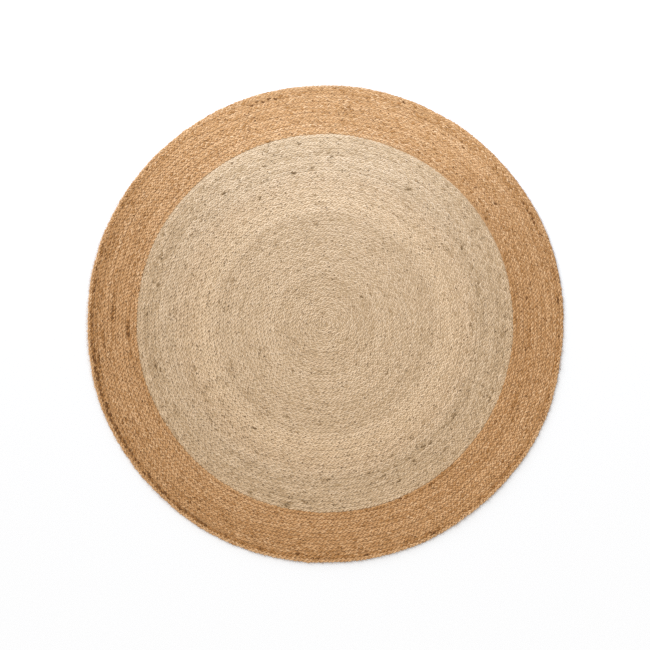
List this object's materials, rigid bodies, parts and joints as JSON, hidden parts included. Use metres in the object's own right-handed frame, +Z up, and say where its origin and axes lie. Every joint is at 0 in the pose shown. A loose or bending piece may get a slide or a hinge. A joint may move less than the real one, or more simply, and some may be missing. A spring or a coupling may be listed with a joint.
{
  "type": "round braided jute rug",
  "caption": "Flat round rug of plaited jute, coiled in a spiral and sewn row to row, with a pale field and a golden-brown border; lies on the floor.",
  "frame": {"origin": "middle of the underside, on the floor", "axes": "+Z up from the floor; the rug lies flat in XY, and the picture's right is +X and its top +Y"},
  "size_m": [1.4952, 1.4992, 0.008],
  "materials": {
    "field_coil": "matt pale natural jute",
    "border_coil": "matt golden-brown jute"
  },
  "bodies": {
    "root": {"field_coil": "field_coil", "border_coil": "border_coil"}
  },
  "joints": []
}
